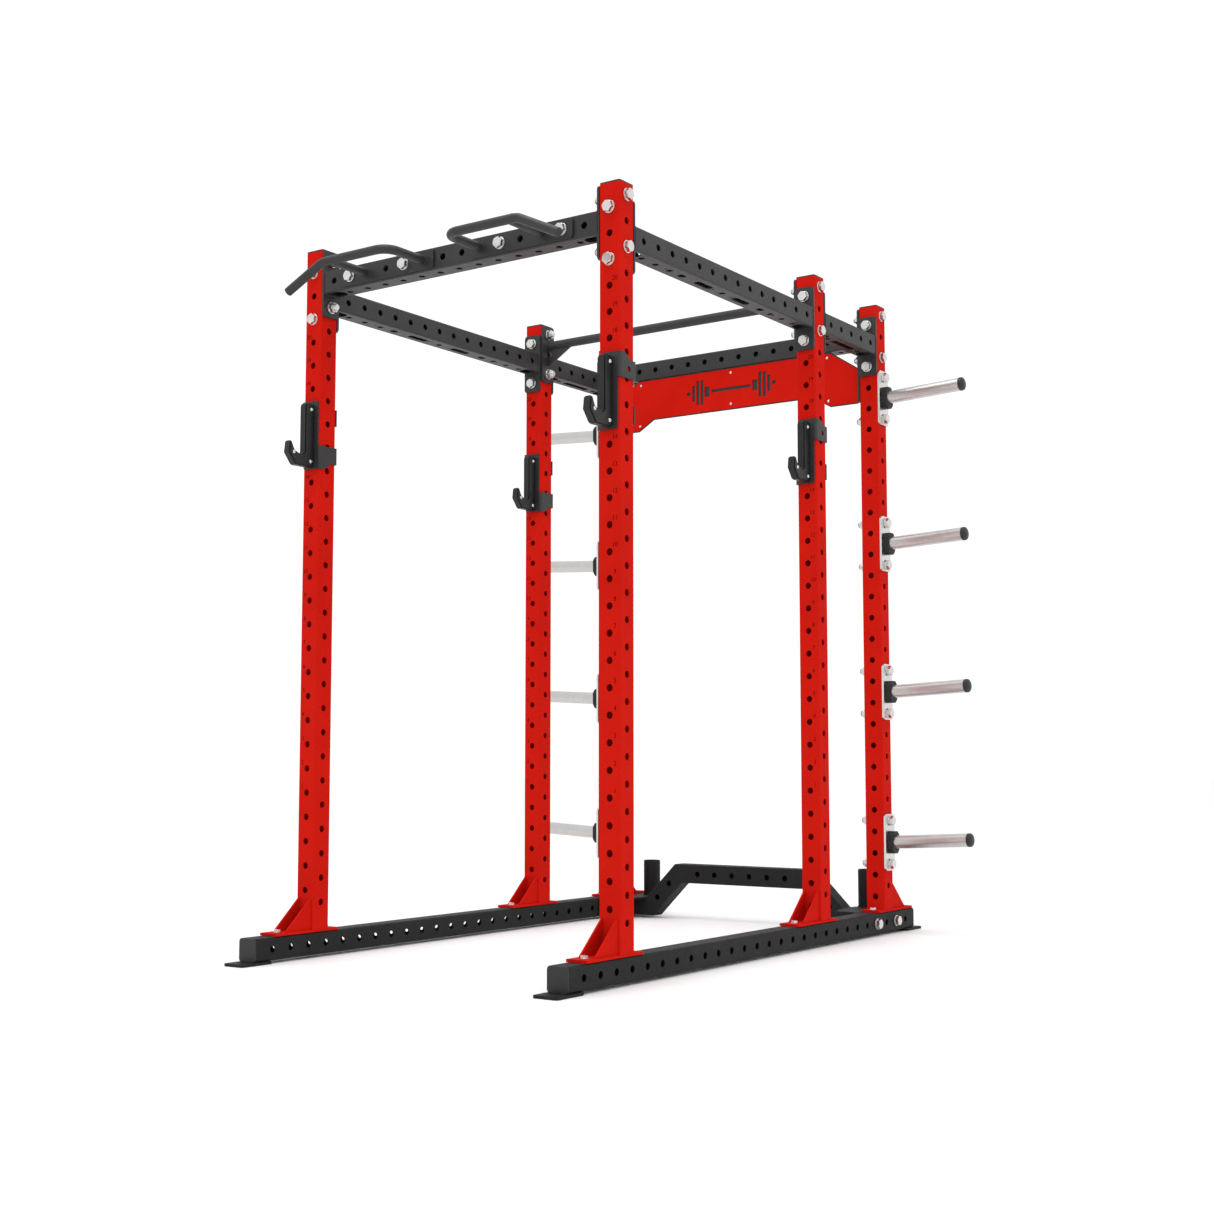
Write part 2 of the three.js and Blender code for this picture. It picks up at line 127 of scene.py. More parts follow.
def circle(radius, a=0.0, b=0.0, steps=24):
    """Round outline about (a, b)."""
    turns = [2 * math.pi * (step + 0.5) / steps for step in range(steps)]
    return [Vector((a + radius * math.cos(t), b + radius * math.sin(t))) for t in turns]


def chamfered(half_a, half_b, cut):
    """Rectangle outline about the origin with its corners cut at 45 degrees."""
    return [
        (half_a - cut, -half_b),
        (half_a, -half_b + cut),
        (half_a, half_b - cut),
        (half_a - cut, half_b),
        (-half_a + cut, half_b),
        (-half_a, half_b - cut),
        (-half_a, -half_b + cut),
        (-half_a + cut, -half_b),
    ]


# ---- solids ----

PLANES = {"x": (1, 2, 0), "y": (0, 2, 1), "z": (0, 1, 2)}  # an outline's two axes, then its depth


def at(axis, a, b, depth):
    """Point with outline coordinates (a, b), at a depth along the axis."""
    point = [0.0, 0.0, 0.0]
    for index, value in zip(PLANES[axis], (a, b, depth)):
        point[index] = value
    return Vector(point)


def linked(name, data):
    """A new object in the scene."""
    made = bpy.data.objects.new(name, data)
    bpy.context.scene.collection.objects.link(made)
    return made


def taken(made):
    """The mesh of an object that is no longer needed."""
    mesh = made.data
    bpy.data.objects.remove(made)
    return mesh


def baked(bm):
    """A bmesh as an object."""
    mesh = bpy.data.meshes.new("solid")
    bm.to_mesh(mesh)
    bm.free()
    return linked("solid", mesh)


def solid(bm):
    """A bmesh as an object, with its faces turned outwards."""
    bmesh.ops.recalc_face_normals(bm, faces=bm.faces)
    return baked(bm)


def slab(outline, axis, low, high, edge=0.0):
    """Plate: an outline from low to high along the axis, its two rims rounded by edge."""
    bm = bmesh.new()
    lower = [bm.verts.new(at(axis, a, b, low)) for a, b in outline]
    upper = [bm.verts.new(at(axis, a, b, high)) for a, b in outline]
    ends = [bm.faces.new(lower), bm.faces.new(upper)]
    for index in range(len(outline)):
        after = (index + 1) % len(outline)
        bm.faces.new((lower[index], lower[after], upper[after], upper[index]))
    if edge:
        rims = [rim for face in ends for rim in face.edges]
        bmesh.ops.bevel(bm, geom=rims, offset=edge, segments=2, profile=0.5, affect="EDGES")
    return solid(bm)


def skin(bm, rings, closed=False):
    """Joins rings of vertices with faces; the run of rings closes on itself if told to."""
    pairs = list(zip(rings, rings[1:]))
    if closed:
        pairs.append((rings[-1], rings[0]))
    for one, two in pairs:
        count = max(len(one), len(two))
        for index in range(count):
            after = (index + 1) % count
            near = (one[index % len(one)], one[after % len(one)])
            far = (two[after % len(two)], two[index % len(two)])
            bm.faces.new(list(dict.fromkeys(near + far)))


def hollow(outer, inner, axis, low, high):
    """Open tube between two outlines with as many points."""
    bm = bmesh.new()
    stages = ((outer, low), (outer, high), (inner, high), (inner, low))
    rings = [[bm.verts.new(at(axis, a, b, depth)) for a, b in outline] for outline, depth in stages]
    skin(bm, rings, closed=True)
    return solid(bm)


def square_tube(axis, low, high, radius=CORNER):
    """Square tube about an axis."""
    inside = HALF - WALL
    outer = rectangle(-HALF, -HALF, HALF, HALF, radius)
    inner = rectangle(-inside, -inside, inside, inside, max(radius - WALL, MM))
    return hollow(outer, inner, axis, low, high)


def lathe(profile, steps=32, matrix=None):
    """Solid turned about Z from (radius, height) points that end on the axis or close on themselves."""
    bm = bmesh.new()
    rings = []
    for radius, height in profile:
        if radius == 0:
            rings.append([bm.verts.new((0, 0, height))])
        else:
            rings.append([bm.verts.new((*point, height)) for point in circle(radius, steps=steps)])
    skin(bm, rings, closed=len(rings[0]) > 1)
    if matrix is not None:
        bm.transform(matrix)
    return solid(bm)


def swept(path, radius, sides=20, closed=False, ripple=None):
    """Round bar along points, capped unless closed; ripple(index) scales its radius."""
    bm = bmesh.new()
    count = len(path)
    side = None
    rings = []
    for index, point in enumerate(path):
        before = path[index - 1] if index or closed else point
        after = path[(index + 1) % count] if index < count - 1 or closed else point
        along = (after - before).normalized()
        if side is None:
            side = along.orthogonal().normalized()
        side = (side - along * side.dot(along)).normalized()
        other = along.cross(side)
        size = radius * (ripple(index) if ripple else 1)
        turns = [2 * math.pi * step / sides for step in range(sides)]
        rings.append([bm.verts.new(point + (side * math.cos(t) + other * math.sin(t)) * size) for t in turns])
    skin(bm, rings, closed=closed)
    if not closed:
        for ring in (rings[0], rings[-1]):
            bm.faces.new(ring)
    return solid(bm)


def move(made, matrix):
    """Moves an object's mesh."""
    made.data.transform(matrix)
    if matrix.determinant() < 0:
        made.data.flip_normals()
    return made


def joined(parts):
    """Several objects as one, without cutting them."""
    bm = bmesh.new()
    for part in parts:
        bm.from_mesh(part.data)
        discard(part)
    return baked(bm)


def discard(made):
    """Removes an object and its mesh."""
    bpy.data.meshes.remove(taken(made))


def boolean(base, operation, tools):
    """The base object joined with, cut or kept by each tool in turn."""
    for tool in tools:
        modifier = base.modifiers.new(operation, "BOOLEAN")
        modifier.operation = operation
        modifier.solver = "MANIFOLD"
        modifier.object = tool
    graph = bpy.context.evaluated_depsgraph_get()
    result = bpy.data.meshes.new_from_object(base.evaluated_get(graph))
    assert len(result.polygons) > 0, f"{operation} left nothing"
    base.modifiers.clear()
    former = base.data
    base.data = result
    bpy.data.meshes.remove(former)
    for tool in tools:
        discard(tool)
    return base


def drills(axis, centres, low, high, radius=HOLE):
    """Round cutters at (a, b) centres, as one object."""
    return joined([slab(circle(radius, a, b), axis, low, high) for a, b in centres])


# ---- shading ----

FLAT_WIDTH = 4.5 * MM  # a flat stretch at least this wide keeps its own normal
SMOOTH_COSINE = math.cos(math.radians(40))
NORMAL_STEPS = 300  # faces count as one plane when their normals agree to one step
OFFSET_STEPS = 20000  # and their offsets, in steps per metre


def read(elements, name, width=1, kind=float):
    """One property of every element of a mesh."""
    values = np.zeros(len(elements) * width, kind)
    elements.foreach_get(name, values)
    return values.reshape(-1, width) if width > 1 else values


def shade(mesh):
    """Gives flat faces their own normal, and smooths the narrow strips that round off between them."""
    mesh.shade_smooth()
    normals = read(mesh.polygons, "normal", 3)
    centres = read(mesh.polygons, "center", 3)
    areas = read(mesh.polygons, "area")
    sizes = read(mesh.polygons, "loop_total", kind=int)
    loop_vertex = read(mesh.loops, "vertex_index", kind=int)
    places = read(mesh.vertices, "co", 3)
    offset = (normals * centres).sum(1)
    key = np.round(np.column_stack([normals * NORMAL_STEPS, offset * OFFSET_STEPS])).astype(int)
    region = np.unique(key, axis=0, return_inverse=True)[1].ravel()
    loop_face = np.repeat(np.arange(len(sizes)), sizes)
    regions = region.max() + 1
    low = np.full((regions, 3), np.inf)
    high = np.full((regions, 3), -np.inf)
    np.minimum.at(low, region[loop_face], places[loop_vertex])
    np.maximum.at(high, region[loop_face], places[loop_vertex])
    flat = np.sort(high - low, axis=1)[:, 1] > FLAT_WIDTH
    extent = np.bincount(region, weights=areas) * flat
    around = {}
    for loop, vertex in enumerate(loop_vertex.tolist()):
        around.setdefault(vertex, []).append(loop)
    result = np.zeros((len(mesh.loops), 3))
    for loops in around.values():
        faces = loop_face[loops]
        near = normals[faces] @ normals[faces].T > SMOOTH_COSINE
        for row, loop in enumerate(loops):
            face = faces[row]
            group = faces[near[row]]
            if extent[region[face]] > 0 or not len(group):
                result[loop] = normals[face]
                continue
            best = group[np.argmax(extent[region[group]])]
            if extent[region[best]] > 0:
                result[loop] = normals[best]
            else:
                result[loop] = (normals[group] * areas[group, None]).sum(0)
    lengths = np.linalg.norm(result, axis=1, keepdims=True)
    result = result / np.maximum(lengths, 1e-12)
    mesh.normals_split_custom_set(result.tolist())


# ---- materials ----


class Look:
    """A Principled material and the record's slot that it stands for."""

    def __init__(self, name, slot, colour, roughness, metallic=0.0, specular=0.5):
        self.slot = slot
        self.material = bpy.data.materials.new(name)
        self.material.use_nodes = True
        self.nodes = self.material.node_tree.nodes
        self.links = self.material.node_tree.links
        self.shader = self.nodes["Principled BSDF"]
        self.feed(self.shader, {
            "Base Color": (*colour, 1),
            "Roughness": roughness,
            "Metallic": metallic,
            "Specular IOR Level": specular,
        })
        self.place = self.nodes.new("ShaderNodeTexCoord").outputs["Object"]

    def feed(self, node, inputs):
        """Sets each named input of a node, or links it to a socket."""
        for name, value in inputs.items():
            if isinstance(value, bpy.types.NodeSocket):
                self.links.new(value, node.inputs[name])
            else:
                node.inputs[name].default_value = value

    def noise(self, scale, detail):
        """Fractal noise over the object, in features per metre."""
        texture = self.nodes.new("ShaderNodeTexNoise")
        self.feed(texture, {"Vector": self.place, "Scale": scale, "Detail": detail})
        return texture.outputs["Fac"]

    def mixed(self, first, second, share):
        """Blend of two sources, with a share of the second."""
        mix = self.nodes.new("ShaderNodeMix")
        self.feed(mix, {"Factor": share, "A": first, "B": second})
        return mix.outputs["Result"]

    def vary_colour(self, source, dark, light, low=0.35, high=0.65):
        """Base colour from dark to light as the source goes from low to high."""
        ramp = self.nodes.new("ShaderNodeValToRGB")
        for stop, place, colour in zip(ramp.color_ramp.elements, (low, high), (dark, light)):
            stop.position = place
            stop.color = (*colour, 1)
        self.feed(ramp, {"Fac": source})
        self.feed(self.shader, {"Base Color": ramp.outputs["Color"]})

    def vary_roughness(self, source, low, high):
        """Roughness between two values, by the source."""
        span = self.nodes.new("ShaderNodeMapRange")
        self.feed(span, {"Value": source, "From Min": 0.3, "From Max": 0.7, "To Min": low, "To Max": high})
        self.feed(self.shader, {"Roughness": span.outputs["Result"]})

    def bump(self, source, strength, distance):
        """Relief from the source."""
        relief = self.nodes.new("ShaderNodeBump")
        self.feed(relief, {"Height": source, "Strength": strength, "Distance": distance})
        self.feed(self.shader, {"Normal": relief.outputs["Normal"]})


def red_powder_coat():
    look = Look("red_powder_coat", "frame_red", (0.53, 0.009, 0.0038), 0.7, specular=0.03)
    grain = look.mixed(look.noise(6, 3), look.noise(340, 2), 0.6)
    look.vary_colour(grain, (0.49, 0.0075, 0.0032), (0.58, 0.0105, 0.0044), 0.4, 0.6)
    look.vary_roughness(look.noise(60, 4), 0.62, 0.76)
    look.bump(look.noise(420, 2), 0.15, 0.3 * MM)
    return look


def black_coat(name, middle, dark, light, rough, specular):
    """Black paint with a fine grain; its roughness wanders 0.12 upwards."""
    look = Look(name, "frame_black", middle, rough, specular=specular)
    grain = look.mixed(look.noise(9, 3), look.noise(900, 3), 0.6)
    look.vary_colour(grain, dark, light, 0.4, 0.6)
    look.vary_roughness(look.noise(90, 4), rough, rough + 0.12)
    look.bump(look.noise(900, 3), 0.22, 0.2 * MM)
    return look


def black_powder_coat():
    middle, dark, light = (0.02, 0.02, 0.0205), (0.016, 0.016, 0.0165), (0.025, 0.025, 0.0255)
    return black_coat("black_powder_coat", middle, dark, light, 0.42, 0.4)


# Painted shade: the same black powder coat as the frame, made darker and duller for the runners, low
# crossmember and bar holders near the floor.
def base_powder_coat():
    middle, dark, light = (0.01, 0.01, 0.0103), (0.0075, 0.0075, 0.0078), (0.013, 0.013, 0.0133)
    return black_coat("base_powder_coat", middle, dark, light, 0.58, 0.22)


def zinc(name, middle, dark, light, rough):
    """Zinc plating, a little cloudy."""
    look = Look(name, "zinc_plated", middle, rough, metallic=1.0)
    look.vary_colour(look.noise(35, 2), dark, light)
    look.vary_roughness(look.noise(40, 2), rough - 0.02, rough + 0.02)
    return look


def bright_zinc():
    return zinc("bright_zinc", (0.66, 0.65, 0.635), (0.63, 0.62, 0.605), (0.69, 0.68, 0.665), 0.28)


# Painted shade: the same zinc plating as the bolts and plates, made darker for the horn sleeves.
def sleeve_zinc():
    return zinc("sleeve_zinc", (0.54, 0.53, 0.52), (0.525, 0.515, 0.505), (0.555, 0.545, 0.535), 0.32)


def moulded_plastic():
    look = Look("moulded_plastic", "cap_plastic", (0.018, 0.018, 0.019), 0.4, specular=0.35)
    look.vary_colour(look.noise(500, 2), (0.015, 0.015, 0.016), (0.021, 0.021, 0.022))
    look.vary_roughness(look.noise(120, 3), 0.34, 0.46)
    return look


def collar_rubber():
    look = Look("collar_rubber", "collar_rubber", (0.012, 0.012, 0.013), 0.6, specular=0.3)
    look.vary_colour(look.noise(700, 2), (0.010, 0.010, 0.011), (0.015, 0.015, 0.016))
    look.vary_roughness(look.noise(200, 3), 0.52, 0.68)
    look.bump(look.noise(1300, 3), 0.15, 0.1 * MM)
    return look


def cup_plastic():
    look = Look("cup_plastic", "cup_plastic", (0.012, 0.012, 0.0125), 0.42, specular=0.3)
    look.vary_colour(look.noise(400, 3), (0.010, 0.010, 0.0105), (0.015, 0.015, 0.0155))
    look.vary_roughness(look.noise(90, 3), 0.38, 0.48)
    look.bump(look.noise(1100, 3), 0.12, 0.1 * MM)
    return look


# Painted shade: near-black red for the flat hole numbers, in place of the shade inside etched digits.
def etched_red():
    look = Look("etched_red", "frame_red", (0.025, 0.003, 0.0025), 0.8, specular=0.03)
    look.vary_colour(look.noise(900, 2), (0.02, 0.0025, 0.002), (0.03, 0.0035, 0.003))
    return look


RED = red_powder_coat()
BLACK = black_powder_coat()
SHADED_BASE_BLACK = base_powder_coat()
ZINC = bright_zinc()
SHADED_SLEEVE_ZINC = sleeve_zinc()
PLASTIC = moulded_plastic()
RUBBER = collar_rubber()
CUP = cup_plastic()
ETCHED_SHADE = etched_red()

# ---- placing ----


def finished(made, look):
    """Takes a built object apart for its mesh, shaded and with its material."""
    mesh = taken(made)
    shade(mesh)
    mesh.materials.clear()
    mesh.materials.append(look.material)
    return mesh, look


def place(built, name, body="cage", position=(0, 0, 0), turn=0.0, hides=()):
    """Stands a finished mesh in its place, riding on a body and hiding the CAD nodes it replaces."""
    mesh, look = built
    mesh.name = name
    piece = linked(name, mesh)
    piece.location = position
    piece.rotation_euler = (0, 0, turn)
    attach(piece, body)
    if hides:
        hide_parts(*hides)
    return piece


# ---- welds ----


def weld(outline, axis, depth, radius=2.2 * MM, step=1.6 * MM):
    """Rippled weld bead along a closed outline."""
    corners = [at(axis, a, b, depth) for a, b in outline]
    path = []
    for start, end in zip(corners, corners[1:] + corners[:1]):
        pieces = max(1, round((end - start).length / step))
        path += [start.lerp(end, index / pieces) for index in range(pieces)]
    return swept(path, radius, 8, closed=True, ripple=lambda index: 1 + 0.13 * math.sin(index * 2.1))


# ---- uprights ----

GUSSET_THICK = 6 * MM
GUSSET_REACH = 103 * MM
GUSSET_TOP = 182 * MM
GUSSET_X = HALF - 7 * MM  # outer face of a gusset
face_holes = [hole_zero + PITCH * k for k in range(-4, 24)]
side_holes = [hole_zero + PITCH * (k + 0.5) for k in range(-4, 24)]


def upright():
    """Upright tube on its base plate, standing at the origin, toe and gussets towards -Y."""
    toe = post_low.y - post_y["front"]
    heel = post_high.y - post_y["front"]
    foot = slab(rectangle(-HALF, toe, HALF, heel, 1.5 * MM), "z", post_low.z, base_top, EDGE)
    nose = -HALF - GUSSET_REACH
    triangle = [
        (-HALF + MM, base_top - MM),
        (-HALF + MM, GUSSET_TOP),
        (-HALF - 2 * MM, GUSSET_TOP),
        (nose, base_top + 3 * MM),
        (nose, base_top - MM),
    ]
    starts = (-GUSSET_X, GUSSET_X - GUSSET_THICK)
    gussets = [slab(triangle, "x", x, x + GUSSET_THICK, 0.5 * MM) for x in starts]
    tube = square_tube("z", base_top - MM, post_high.z)
    body = boolean(tube, "UNION", [foot, *gussets])
    through = HALF + 10 * MM
    cuts = [
        drills("y", [(0, z) for z in face_holes], -through, through),
        drills("x", [(0, z) for z in side_holes], -through, through),
    ]
    body = boolean(body, "DIFFERENCE", cuts)
    bead = weld(rectangle(-HALF, -HALF, HALF, HALF, CORNER), "z", base_top)
    return finished(joined([body, bead]), RED)


def upright_cap():
    """Thin plastic cap on top of an upright, with a slightly raised field."""
    low, high = cap_low.z, cap_high.z
    rim = slab(rectangle(-HALF, -HALF, HALF, HALF, CORNER), "z", low, high - 0.8 * MM, 0.6 * MM)
    inset = HALF - 6 * MM
    field = slab(rectangle(-inset, -inset, inset, inset, 4 * MM), "z", low + MM, high, 0.5 * MM)
    return finished(boolean(rim, "UNION", [field]), PLASTIC)


DIGIT_SIZE = 19 * MM
DIGIT_SHIFT = 18.5 * MM  # from the hole's centre, outwards and upwards


def hole_numbers(side):
    """Numbers above and outside each front hole: flat slabs in near-black red, painted shade for the hollows
    of etched digits; side is -1 left, 1 right.
    """
    parts = []
    for number in NUMBERS:
        words = bpy.data.curves.new("number", "FONT")
        words.body = str(number)
        words.size = DIGIT_SIZE
        words.extrude = 0.06 * MM
        words.align_x = "CENTER"
        words.align_y = "CENTER"
        words.resolution_u = 3
        text = linked("number", words)
        graph = bpy.context.evaluated_depsgraph_get()
        mesh = bpy.data.meshes.new_from_object(text.evaluated_get(graph))
        bpy.data.objects.remove(text)
        bpy.data.curves.remove(words)
        upright_text = Matrix.Rotation(math.pi / 2, 4, "X")
        height = hole_zero + number * PITCH + DIGIT_SHIFT
        spot = Vector((side * DIGIT_SHIFT, -HALF - 0.02 * MM, height))
        mesh.transform(Matrix.Translation(spot) @ upright_text)
        parts.append(linked("number", mesh))
    return finished(joined(parts), ETCHED_SHADE)


def build_uprights():
    tube = upright()
    cap = upright_cap()
    for side, sign in SIDES:
        digits = hole_numbers(sign)
        for row in ROWS:
            spot = (sign * post_x, post_y[row], 0)
            turn = math.pi if row == "rear" else 0
            name = f"{row}_{side}"
            place(tube, f"upright_tube_{name}", position=spot, turn=turn, hides=[f"upright_{name}"])
            place(cap, f"upright_end_{name}", position=spot, hides=[f"upright_cap_{name}"])
            if row != "rear":
                place(digits, f"hole_numbers_{name}", position=spot)


# ---- base runners ----

FOOT_LENGTH = 120 * MM
RUNNER_OVERHANG = 60 * MM  # of the foot plate, past the tube
PLUG_THICK = 5 * MM


def build_runners():
    low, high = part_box("base_runner_right")
    end = high.y - RUNNER_OVERHANG
    centre_z = high.z - HALF
    tube = move(square_tube("y", -end, end, 8 * MM), Matrix.Translation((0, 0, centre_z)))
    half_foot = (high.x - low.x) / 2
    feet = []
    for sign in (-1, 1):
        ends = sorted((sign * high.y, sign * (high.y - FOOT_LENGTH)))
        outline = rectangle(-half_foot, ends[0], half_foot, ends[1], 6 * MM)
        feet.append(slab(outline, "z", 0, PLATE + 0.01 * MM, EDGE))
    spots = [(PITCH * index, centre_z) for index in range(-13, 14)]
    body = boolean(tube, "UNION", feet)
    body = boolean(body, "DIFFERENCE", [drills("x", spots, -2 * HALF, 2 * HALF)])
    runner = finished(body, SHADED_BASE_BLACK)
    plug_shape = rectangle(-HALF, centre_z - HALF, HALF, centre_z + HALF, 9 * MM, 2)
    plugs = [slab(plug_shape, "y", end + SKIN, end + PLUG_THICK, 1.2 * MM)]
    plugs.append(slab(plug_shape, "y", -end - PLUG_THICK, -end - SKIN, 1.2 * MM))
    plug = finished(joined(plugs), PLASTIC)
    for side, sign in SIDES:
        spot = (sign * post_x, 0, 0)
        place(runner, f"runner_{side}", position=spot, hides=[f"base_runner_{side}"])
        place(plug, f"runner_plugs_{side}", position=spot)


# ---- top frame ----

PLATE_CORNER = 10 * MM
ACCESS = (62 * MM, 44 * MM)  # spanner opening next to an end plate
SLOT = 24 * MM  # width of the long slots
SMALL_HOLE = 4 * MM  # radius


def beam(node, along, across_holes, through_holes, slots, plate_low, plate_high):
    """Beam about its own centre, with end plates: side holes, vertical holes and slots underneath."""
    low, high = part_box(node)
    axis = 0 if along == "x" else 1
    end = (high[axis] - low[axis]) / 2
    inner = end - PLATE
    tube = square_tube(along, -inner - MM, inner + MM)
    face = rectangle(-HALF, plate_low, HALF, plate_high, PLATE_CORNER)
    plates = [slab(face, along, inner, end, EDGE), slab(face, along, -end, -inner, EDGE)]
    side_axis = "y" if along == "x" else "x"
    bolts = [(0, z - cross_z) for z in PLATE_BOLTS]
    cuts = [
        drills(side_axis, [(s, 0) for s in across_holes], -2 * HALF, 2 * HALF),
        drills(along, bolts, inner - 5 * MM, end + 5 * MM, BOLT_HOLE),
        drills(along, bolts, -end - 5 * MM, -inner + 5 * MM, BOLT_HOLE),
    ]
    opening = inner - ACCESS[0] / 2
    slots = [*slots, (-opening, *ACCESS), (opening, *ACCESS)]
    for centre, length, width in slots:
        half_long, half_wide = length / 2, width / 2
        corners = ((centre - half_long, -half_wide), (centre + half_long, half_wide))
        if along == "y":
            corners = tuple((b, a) for a, b in corners)
        shape = rectangle(*corners[0], *corners[1], half_wide * 0.9)
        cuts.append(slab(shape, "z", -HALF - MM, -HALF + WALL + MM))
    through = [(s, 0, r) if along == "x" else (0, s, r) for s, r in through_holes]
    cuts += [slab(circle(r, a, b), "z", -HALF - MM, HALF + MM) for a, b, r in through]
    body = boolean(boolean(tube, "UNION", plates), "DIFFERENCE", cuts)
    square = rectangle(-HALF, -HALF, HALF, HALF, CORNER)
    beads = [weld(square, along, sign * inner) for sign in (-1, 1)]
    return finished(joined([body, *beads]), BLACK)


def build_top_frame():
    low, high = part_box("front_crossmember")
    half_plate = (high.z - low.z) / 2
    odd = [PITCH * (index + 0.5) for index in range(-7, 7)]
    even = [(PITCH * index, HOLE) for index in range(-6, 7)]
    front = beam("front_crossmember", "x", odd, even, [], -half_plate, half_plate)
    place(front, "crossmember_front", position=(0, post_y["front"], cross_z), hides=["front_crossmember"])
    rear_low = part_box("rear_crossmember")[0].z - cross_z
    rear = beam("rear_crossmember", "x", odd, even, [], rear_low, half_plate)
    place(rear, "crossmember_rear", position=(0, post_y["rear"], cross_z), hides=["rear_crossmember"])
    side_z = middle("side_beam_front_right").z
    holes = [(s * PITCH, HOLE) for s in (-6, -5, -4, 0, 4, 5, 6)]
    holes += [(sign * s * MM, SMALL_HOLE) for sign in (-1, 1) for s in (56, 320)]
    slots = [(sign * 111 * MM, 90 * MM, SLOT) for sign in (-1, 1)]
    slots += [(sign * 233 * MM, 32 * MM, 2 * HOLE) for sign in (-1, 1)]
    long_beam = beam("side_beam_front_right", "y", odd, holes, slots, -half_plate, half_plate)
    near = [PITCH * index for index in range(-2, 3)]
    holes = [(sign * 1.5 * PITCH, HOLE) for sign in (-1, 1)]
    slots = [(0, 150 * MM, SLOT)]
    short_beam = beam("side_beam_rear_right", "y", near, holes, slots, -half_plate, half_plate)
    for side, sign in SIDES:
        for bay, built in (("front", long_beam), ("rear", short_beam)):
            node = f"side_beam_{bay}_{side}"
            spot = (sign * post_x, middle(node).y, side_z)
            place(built, f"top_rail_{bay}_{side}", position=spot, hides=[node])


# ---- pull-up bar and handles ----


BAR_Z = 2150 * MM
BAR_RADIUS = 16 * MM
BAR_GUSSET = (103 * MM, 74 * MM)  # reach along the bar, and depth


def build_pull_up_bar():
    low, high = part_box("pull_up_bar")
    y = middle("pull_up_bar").y
    end = high.x
    inner = end - PLATE
    bar = swept([Vector((-inner - MM, 0, BAR_Z)), Vector((inner + MM, 0, BAR_Z))], BAR_RADIUS, 40)
    reach, depth = BAR_GUSSET
    face = rectangle(-HALF, low.z, HALF, high.z, PLATE_CORNER)
    parts = []
    beads = []
    for sign in (-1, 1):
        parts.append(slab(face, "x", *sorted((sign * inner, sign * end)), EDGE))
        gusset = [
            (inner + MM, BAR_Z),
            (inner + MM, BAR_Z - depth),
            (inner - 8 * MM, BAR_Z - depth, 6 * MM),
            (inner - reach, BAR_Z - BAR_RADIUS),
            (inner - reach, BAR_Z),
        ]
        gusset = [(sign * corner[0], *corner[1:]) for corner in gusset]
        parts.append(slab(rounded(gusset), "y", -PLATE / 2, PLATE / 2, EDGE))
        beads.append(weld(circle(BAR_RADIUS, 0, BAR_Z, 36), "x", sign * inner))
    spots = [(0, cross_z + shift) for shift in (-PITCH, 0, PITCH)]
    body = boolean(bar, "UNION", parts)
    body = boolean(body, "DIFFERENCE", [drills("x", spots, inner - 20 * MM, end + MM)])
    body = boolean(body, "DIFFERENCE", [drills("x", spots, -end - MM, -inner + 20 * MM)])
    built = finished(joined([body, *beads]), BLACK)
    place(built, "pull_up_bar_assembly", position=(0, y, 0), hides=["pull_up_bar"])


GRIP_RADIUS = 14 * MM
GRIP_BEND = 374.6 * MM  # where the grip starts to fall
GRIP_TIP = (523 * MM, 69.5 * MM)  # how far out and how far down it ends
GRIP_EASE = 14 * MM
GRIP_PLATE = (381 * MM, 29 * MM, 6 * MM)  # length, half height and thickness
ROOT_X = 112 * MM  # where the grip leaves its plate
ARM_X = 345 * MM
ARM_RADIUS = 13 * MM


def grip_handle(sign):
    """Bent pull-up handle on its plate; the plate's back is at y = 0. sign is -1 left, 1 right."""
    low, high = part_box("multi_grip_right")
    length, half_high, thick = GRIP_PLATE
    reach = high.y - low.y - GRIP_RADIUS
    ends = sorted((sign * low.x, sign * (low.x + length)))
    plate = slab(rectangle(ends[0], -half_high, ends[1], half_high, PLATE_CORNER), "y", -thick, 0, EDGE)
    straight = (GRIP_BEND - GRIP_EASE, -reach)
    turn_in = rounded([(ROOT_X, -thick + MM), (ROOT_X, -reach, 45 * MM), straight], 0, 12)
    run = [Vector((sign * x, y, 0)) for x, y in turn_in]
    tip, drop = GRIP_TIP
    down = Vector((tip - GRIP_BEND, 0, -drop)).normalized() * GRIP_EASE
    for share in (0.5, 1.0):
        run.append(Vector((sign * (GRIP_BEND + down.x * share), -reach, down.z * share)))
    run.append(Vector((sign * (tip - 2 * MM), -reach, -drop)))
    bar = swept(run, GRIP_RADIUS, 28)
    arm_line = [Vector((sign * ARM_X, y, 0)) for y in (-thick + MM, -reach)]
    arm = swept(arm_line, ARM_RADIUS, 24)
    body = boolean(plate, "UNION", [bar, arm])
    hole = slab(circle(HOLE, sign * 3.5 * PITCH, 0), "y", -thick - MM, MM)
    body = boolean(body, "DIFFERENCE", [hole])
    roots = ((ROOT_X, GRIP_RADIUS), (ARM_X, ARM_RADIUS))
    beads = [weld(circle(r, sign * x, 0, 30), "y", -thick) for x, r in roots]
    return finished(joined([body, *beads]), BLACK)


def build_handles():
    for side, sign in SIDES:
        node = f"multi_grip_{side}"
        spot = (0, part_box(node)[1].y, cross_z)
        place(grip_handle(sign), f"pull_up_handle_{side}", position=spot, hides=[node])


# ---- nameplate ----


NAME_RISE = 41 * MM  # of the bottom edge, past the two ears
NAME_TOP_X = 417 * MM
NAME_BOTTOM_X = 350 * MM
EAR_X = 418 * MM
EAR_HIGH = 72.5 * MM  # how far the top edge falls at the ends
BACKER_LIP = 4 * MM


